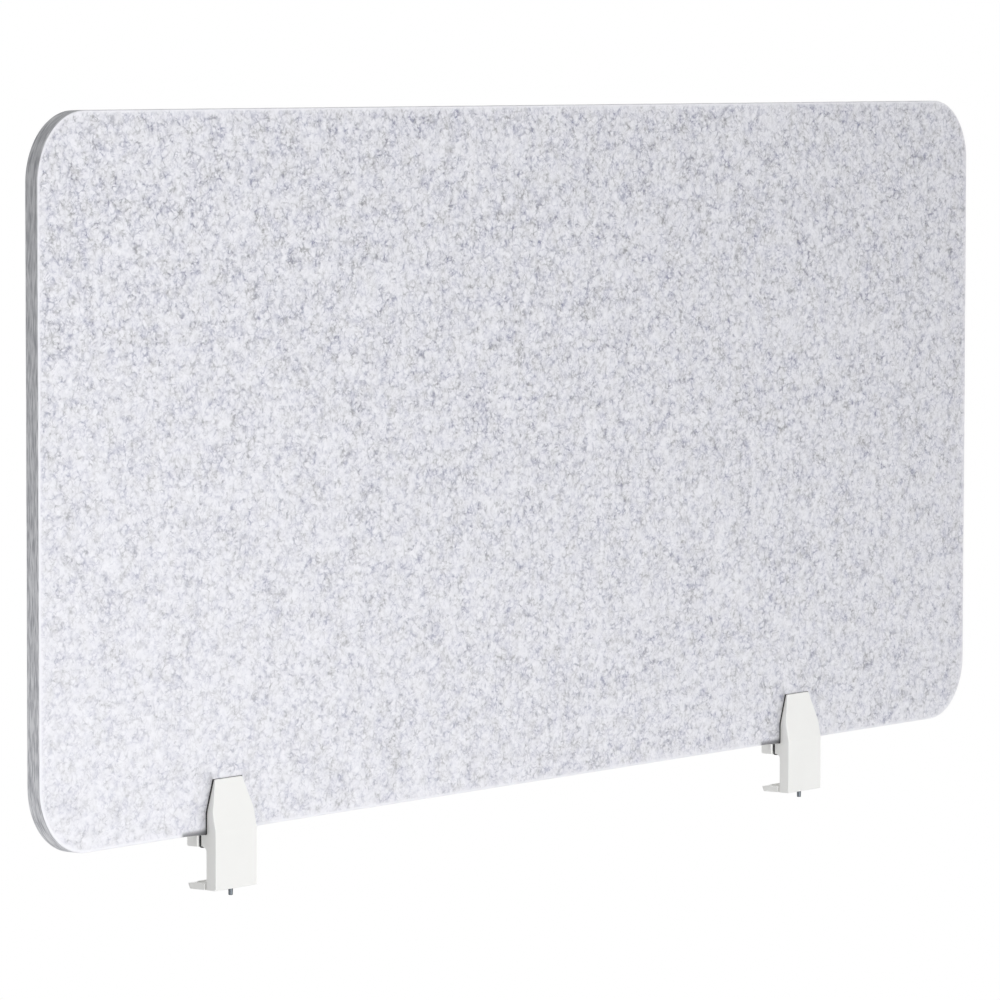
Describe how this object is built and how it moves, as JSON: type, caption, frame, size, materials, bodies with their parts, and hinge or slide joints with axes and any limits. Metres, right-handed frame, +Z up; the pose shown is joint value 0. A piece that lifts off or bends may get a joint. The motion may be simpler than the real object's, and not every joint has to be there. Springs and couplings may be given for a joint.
{
  "type": "desk divider screen",
  "caption": "Felt acoustic screen for a desk: a flat board with rounded corners, held at its lower edge by tapered metal clamps whose jaws grip the desk top.",
  "frame": {"origin": "at the desk's edge, halfway between the ends of the board: Y = 0 is the plane that the edge of the desk top touches and Z = 0 is the desk top's upper surface", "axes": "+X along the board, +Y away from the screen's front and over the desk top, +Z up"},
  "size_m": [1.2, 0.027, 0.5665],
  "materials": {
    "pet_felt": "matte",
    "white_coating": "satin",
    "black_rubber": "matte",
    "white_rubber": "matte",
    "zinc_steel": "satin",
    "dark_steel": "satin"
  },
  "bodies": {
    "board": {"acoustic_panel": "pet_felt"},
    "left_clamp": {"left_front_body": "white_coating", "left_front_grip_pad": "black_rubber", "left_upper_jaw_pad": "black_rubber", "left_clamp_nut": "zinc_steel"},
    "left_rear_plate": {"left_rear_plate": "white_coating", "left_rear_grip_pad": "black_rubber", "left_rear_foot_pad": "black_rubber"},
    "left_outer_grip_screw": {"left_outer_grip_screw": "zinc_steel"},
    "left_inner_grip_screw": {"left_inner_grip_screw": "zinc_steel"},
    "left_lower_jaw": {"left_lower_jaw": "white_coating", "left_lower_jaw_pad": "white_rubber"},
    "left_jaw_screw": {"left_jaw_screw": "dark_steel", "left_jaw_screw_clip": "dark_steel"},
    "right_clamp": {"right_front_body": "white_coating", "right_front_grip_pad": "black_rubber", "right_upper_jaw_pad": "black_rubber", "right_clamp_nut": "zinc_steel"},
    "right_rear_plate": {"right_rear_plate": "white_coating", "right_rear_grip_pad": "black_rubber", "right_rear_foot_pad": "black_rubber"},
    "right_outer_grip_screw": {"right_outer_grip_screw": "zinc_steel"},
    "right_inner_grip_screw": {"right_inner_grip_screw": "zinc_steel"},
    "right_lower_jaw": {"right_lower_jaw": "white_coating", "right_lower_jaw_pad": "white_rubber"},
    "right_jaw_screw": {"right_jaw_screw": "dark_steel", "right_jaw_screw_clip": "dark_steel"}
  },
  "joints": [
    {"name": "left_clamp_slide", "type": "slide", "parent": "board", "child": "left_clamp", "axis": [1, 0, 0], "range_m": [-0.1, 0.36]},
    {"name": "left_rear_plate_slide", "type": "slide", "parent": "left_clamp", "child": "left_rear_plate", "axis": [0, 1, 0], "range_m": [0, 0.003]},
    {"name": "left_outer_grip_screw_turn", "type": "hinge", "parent": "left_rear_plate", "child": "left_outer_grip_screw", "pos_m": [-0.4075, 0.0137, 0.00535], "axis": [0, 1, 0], "range_deg": [0, 1543]},
    {"name": "left_inner_grip_screw_turn", "type": "hinge", "parent": "left_rear_plate", "child": "left_inner_grip_screw", "pos_m": [-0.3805, 0.0137, 0.00535], "axis": [0, 1, 0], "range_deg": [0, 1543]},
    {"name": "left_jaw_slide", "type": "slide", "parent": "left_clamp", "child": "left_lower_jaw", "axis": [0, 0, 1], "range_m": [0, 0.013]},
    {"name": "left_jaw_screw_turn", "type": "hinge", "parent": "left_lower_jaw", "child": "left_jaw_screw", "pos_m": [-0.394, -0.00342, -0.03], "axis": [0, 0, 1], "range_deg": [0, 6686]},
    {"name": "right_clamp_slide", "type": "slide", "parent": "board", "child": "right_clamp", "axis": [1, 0, 0], "range_m": [-0.31, 0.15]},
    {"name": "right_rear_plate_slide", "type": "slide", "parent": "right_clamp", "child": "right_rear_plate", "axis": [0, 1, 0], "range_m": [0, 0.003]},
    {"name": "right_outer_grip_screw_turn", "type": "hinge", "parent": "right_rear_plate", "child": "right_outer_grip_screw", "pos_m": [0.358, 0.0137, 0.00535], "axis": [0, 1, 0], "range_deg": [0, 1543]},
    {"name": "right_inner_grip_screw_turn", "type": "hinge", "parent": "right_rear_plate", "child": "right_inner_grip_screw", "pos_m": [0.331, 0.0137, 0.00535], "axis": [0, 1, 0], "range_deg": [0, 1543]},
    {"name": "right_jaw_slide", "type": "slide", "parent": "right_clamp", "child": "right_lower_jaw", "axis": [0, 0, 1], "range_m": [0, 0.013]},
    {"name": "right_jaw_screw_turn", "type": "hinge", "parent": "right_lower_jaw", "child": "right_jaw_screw", "pos_m": [0.3445, -0.00342, -0.03], "axis": [0, 0, 1], "range_deg": [0, 6686]}
  ],
  "couplings": [
    {"joint": "left_outer_grip_screw_turn", "follows": "left_rear_plate_slide", "rad_per_m": 8976},
    {"joint": "left_inner_grip_screw_turn", "follows": "left_rear_plate_slide", "rad_per_m": 8976},
    {"joint": "left_jaw_screw_turn", "follows": "left_jaw_slide", "rad_per_m": 8976},
    {"joint": "right_outer_grip_screw_turn", "follows": "right_rear_plate_slide", "rad_per_m": 8976},
    {"joint": "right_inner_grip_screw_turn", "follows": "right_rear_plate_slide", "rad_per_m": 8976},
    {"joint": "right_jaw_screw_turn", "follows": "right_jaw_slide", "rad_per_m": 8976}
  ]
}
